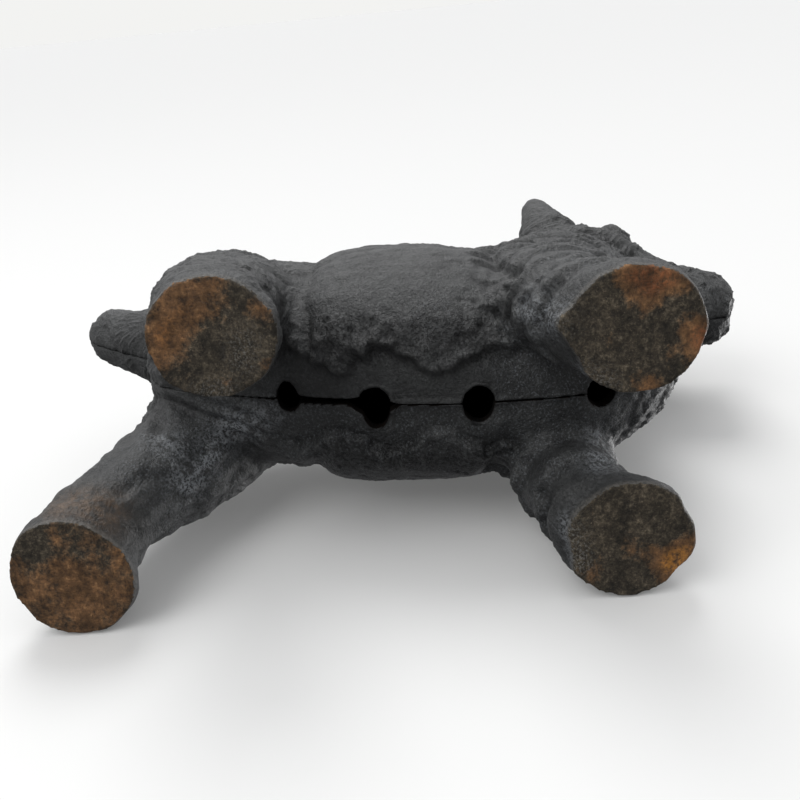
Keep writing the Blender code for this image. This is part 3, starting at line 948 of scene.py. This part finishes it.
def sole_material():
    """Bare cast iron worn by floors: dark and speckled, with rust patches in orange and brown."""
    material, tree, shader = nodes_of("rusty_sole")
    where = add(tree, "TexCoord").outputs["Object"]
    rust = add(tree, "Attribute", attribute_name="rust").outputs["Fac"]
    chalk = add(tree, "Attribute", attribute_name="chalk").outputs["Fac"]
    broad = grain(tree, where, 110, 6, 0.62)
    medium = grain(tree, where, 620, 6, 0.7)
    fine = grain(tree, where, 1700, 4, 0.7)
    iron_tones = (
        (0.36, (0.022, 0.0195, 0.016)),
        (0.5, (0.05, 0.043, 0.034)),
        (0.59, (0.088, 0.077, 0.061)),
        (0.68, (0.17, 0.152, 0.124)),
    )
    iron = ramp(tree, medium, iron_tones)
    speck = ramp(tree, fine, ((0.57, 0.0), (0.66, 1.0)))
    iron = blended(tree, maths(tree, "MULTIPLY", speck, 0.6), iron, (0.21, 0.185, 0.15))
    rust_tones = (
        (0.34, (0.08, 0.047, 0.027)),
        (0.46, (0.14, 0.078, 0.041)),
        (0.58, (0.2, 0.113, 0.057)),
        (0.7, (0.34, 0.205, 0.11)),
    )
    red = ramp(tree, medium, rust_tones)
    amount = maths(tree, "ADD", rust, maths(tree, "MULTIPLY", maths(tree, "ADD", broad, -0.5), 1.7))
    amount = maths(tree, "ADD", amount, maths(tree, "MULTIPLY", maths(tree, "ADD", medium, -0.5), 0.9))
    amount = ramp(tree, amount, ((0.28, 0.0), (0.66, 1.0)))
    hot = maths(tree, "MULTIPLY", maths(tree, "ADD", rust, -0.8), 2.5, True)
    hot = maths(tree, "MULTIPLY", hot, ramp(tree, medium, ((0.4, 0.0), (0.58, 1.0))))
    redness = add(tree, "Attribute", attribute_name="redness").outputs["Fac"]
    bright = blended(tree, redness, (0.50, 0.23, 0.045), (0.27, 0.095, 0.04))
    red = blended(tree, maths(tree, "MULTIPLY", hot, 0.75), red, bright)
    tone = blended(tree, amount, iron, red)
    dark = ramp(tree, fine, ((0.36, 1.0), (0.44, 0.0)))
    tone = blended(tree, maths(tree, "MULTIPLY", dark, 0.55), tone, (0.010, 0.009, 0.008))
    stain_tones = ((0.36, (0.6, 0.57, 0.5)), (0.64, (1.75, 1.62, 1.4)))
    stain = ramp(tree, grain(tree, where, 170, 4, 0.6), stain_tones)
    tone = blended(tree, 1.0, tone, stain, "MULTIPLY")
    scuff = ramp(tree, grain(tree, where, 1300, 5, 0.75), ((0.5, 0.0), (0.62, 1.0)))
    tone = blended(tree, maths(tree, "MULTIPLY", scuff, chalk), tone, (0.32, 0.31, 0.28))
    bent = add(tree, "VectorMath", {0: where, 1: grain(tree, where, 500, 2)}, operation="ADD").outputs[0]
    cells = add(tree, "TexVoronoi", {"Vector": bent, "Scale": 330.0}).outputs["Distance"]
    chance = ramp(tree, grain(tree, where, 140, 2), ((0.47, 0.0), (0.6, 1.0)))
    dot = maths(tree, "MULTIPLY", ramp(tree, cells, ((0.12, 1.0), (0.2, 0.0))), chance)
    dot = maths(tree, "MULTIPLY", dot, ramp(tree, fine, ((0.4, 0.0), (0.55, 1.0))))
    tone = blended(tree, maths(tree, "MULTIPLY", dot, 0.85), tone, (0.36, 0.33, 0.29))
    tree.links.new(tone, shader.inputs["Base Color"])
    rough = maths(tree, "ADD", maths(tree, "MULTIPLY", medium, 0.35), 0.5)
    tree.links.new(rough, shader.inputs["Roughness"])
    shader.inputs["Specular IOR Level"].default_value = 0.35
    coarse = bumped(tree, medium, 0.8, 0.0009)
    tree.links.new(bumped(tree, fine, 0.6, 0.0003, coarse), shader.inputs["Normal"])
    return material


def inside_material():
    """Raw iron inside the hollow: nearly black with a bloom of brown rust."""
    material, tree, shader = nodes_of("raw_iron_inside")
    where = add(tree, "TexCoord").outputs["Object"]
    medium = grain(tree, where, 180, 5)
    fine = grain(tree, where, 1100, 3)
    tone = ramp(tree, medium, ((0.4, (0.003, 0.0028, 0.0026)), (0.7, (0.011, 0.007, 0.005))))
    tree.links.new(tone, shader.inputs["Base Color"])
    tree.links.new(maths(tree, "ADD", maths(tree, "MULTIPLY", fine, 0.2), 0.8), shader.inputs["Roughness"])
    shader.inputs["Specular IOR Level"].default_value = 0.1
    tree.links.new(bumped(tree, fine, 0.7, 0.0005), shader.inputs["Normal"])
    return material


def screw_material():
    """Blackened screw steel, mottled at random from near black to dark brown, with a fine grainy bump."""
    material, tree, shader = nodes_of("blackened_screw")
    where = add(tree, "TexCoord").outputs["Object"]
    medium = grain(tree, where, 600, 4)
    fine = grain(tree, where, 3000, 2)
    steel_tones = ((0.35, (0.02, 0.019, 0.018)), (0.6, (0.09, 0.082, 0.072)), (0.75, (0.17, 0.09, 0.045)))
    tone = ramp(tree, medium, steel_tones)
    tree.links.new(tone, shader.inputs["Base Color"])
    shader.inputs["Metallic"].default_value = 0.85
    rough = maths(tree, "ADD", maths(tree, "MULTIPLY", medium, 0.4), 0.25)
    tree.links.new(rough, shader.inputs["Roughness"])
    tree.links.new(bumped(tree, fine, 0.4, 0.0001), shader.inputs["Normal"])
    return material


# ---------------------------------------------------------------- stage, light and camera

# The camera looks from below the soles, over the dog's right side, with its picture's top to -X.
CAMERA_PLACE = (-0.09724, -0.00374, -0.2158)
CAMERA_FORWARD = (0.352, 0.028, 0.935)
CAMERA_RIGHT = (0.059, -0.998, 0.008)
FIELD_OF_VIEW = 48.83


def aim(thing, place, forward, right):
    forward = Vector(forward).normalized()
    right = Vector(right)
    right = (right - forward * right.dot(forward)).normalized()
    up = right.cross(forward)
    turn = Matrix((right, up, -forward)).transposed().to_4x4()
    thing.matrix_world = Matrix.Translation(Vector(place)) @ turn


def camera():
    lens = bpy.data.cameras.new("Camera")
    lens.sensor_width = 36
    lens.angle = radians(FIELD_OF_VIEW)
    lens.clip_start = 0.01
    lens.clip_end = 100
    seen = link("Camera", lens)
    aim(seen, CAMERA_PLACE, CAMERA_FORWARD, CAMERA_RIGHT)
    bpy.context.scene.camera = seen


def backdrop_material(name, colour, glow):
    """Matt pale card that shows only its front face, with a little light of its own."""
    material, tree, shader = nodes_of(name)
    shader.inputs["Base Color"].default_value = (*colour, 1)
    shader.inputs["Roughness"].default_value = 0.9
    shader.inputs["Specular IOR Level"].default_value = 0.0
    shader.inputs["Emission Color"].default_value = (1, 1, 0.985, 1)
    shader.inputs["Emission Strength"].default_value = glow
    back = add(tree, "NewGeometry").outputs["Backfacing"]
    clear = add(tree, "BsdfTransparent")
    both = add(tree, "MixShader", {0: back})
    tree.links.new(shader.outputs[0], both.inputs[1])
    tree.links.new(clear.outputs[0], both.inputs[2])
    tree.links.new(both.outputs[0], tree.nodes["Material Output"].inputs["Surface"])
    return material


def card(name, centre, normal, size, colour, glow):
    """A large flat card facing along its normal, which lights and shades nothing itself."""
    shape = bmesh.new()
    bmesh.ops.create_grid(shape, x_segments=2, y_segments=2, size=size / 2)
    mesh = bpy.data.meshes.new(name)
    shape.to_mesh(mesh)
    shape.free()
    mesh.materials.append(backdrop_material(name, colour, glow))
    made = link(name, mesh)
    made.location = centre
    made.rotation_euler = Vector(normal).to_track_quat("Z", "Y").to_euler()
    made.visible_diffuse = False
    made.visible_glossy = False
    made.visible_shadow = False


def area_light(name, place, target, size, power):
    lamp = bpy.data.lights.new(name, "AREA")
    lamp.shape = "DISK"
    lamp.size = size
    lamp.energy = power
    made = link(name, lamp)
    made.location = place
    made.rotation_euler = (Vector(place) - Vector(target)).to_track_quat("Z", "Y").to_euler()


def sun(name, toward, spread, power):
    """A broad, even light from far off in one direction."""
    lamp = bpy.data.lights.new(name, "SUN")
    lamp.energy = power
    lamp.angle = radians(spread)
    link(name, lamp).rotation_euler = Vector(toward).to_track_quat("Z", "Y").to_euler()


# The tabletop under the lying dog, beside its left side: where it touches and the way it faces, in metres.
TABLE_PLACE = (0.0523, 0.0994, 0)
TABLE_FACING = (-1, 0.0283, -0.0734)
# The floor is this little below the soles, so that the two don't lie in one plane.
FLOOR_HEIGHT = -0.0002


def studio():
    world = bpy.data.worlds.new("Studio")
    bpy.context.scene.world = world
    world.use_nodes = True
    tree = world.node_tree
    sky = tree.nodes["Background"]
    sky.inputs["Color"].default_value = (0.975, 0.98, 1.0, 1)
    way = add(tree, "TexCoord").outputs["Generated"]
    toward = add(tree, "VectorMath", {0: way, 1: (-0.88, 0.02, 0.45)}, operation="DOT_PRODUCT")
    bright = add(tree, "MapRange", {"Value": toward.outputs["Value"]}, interpolation_type="SMOOTHSTEP")
    bright.inputs["From Min"].default_value = -0.5
    bright.inputs["From Max"].default_value = 0.8
    bright.inputs["To Min"].default_value = 0.23
    bright.inputs["To Max"].default_value = 0.9
    tree.links.new(bright.outputs["Result"], sky.inputs["Strength"])
    card("table", TABLE_PLACE, TABLE_FACING, 60, (0.73, 0.73, 0.72), 0.085)
    card("sweep", (-8, 0, 9), (0, 0, -1), 18, (0, 0, 0), 0.895)
    card("floor", (0, 0, FLOOR_HEIGHT), (0, 0, 1), 60, (0.8, 0.8, 0.79), 0.03)
    sun("key", (-0.85, 0.12, 0.52), 30, 1.3)
    area_light("front", (-0.85, 0.6, -0.5), (0, 0, 0.05), 0.8, 4.0)
    area_light("side_fill", (0.45, -1.0, 0.85), (0, 0, 0.1), 0.8, 7)
    bpy.context.scene.view_settings.view_transform = "Standard"


def build():
    paint = paint_material()
    sole = sole_material()
    inside = inside_material()
    casting("left_half", "left_casting", 1, (paint, sole, inside))
    casting("right_half", "right_casting", -1, (paint, sole, inside))
    steel = screw_material()
    screw("shoulder_screw", "shoulder_screw_turned", steel)
    screw("haunch_screw", "haunch_screw_turned", steel)
    camera()
    studio()


build()
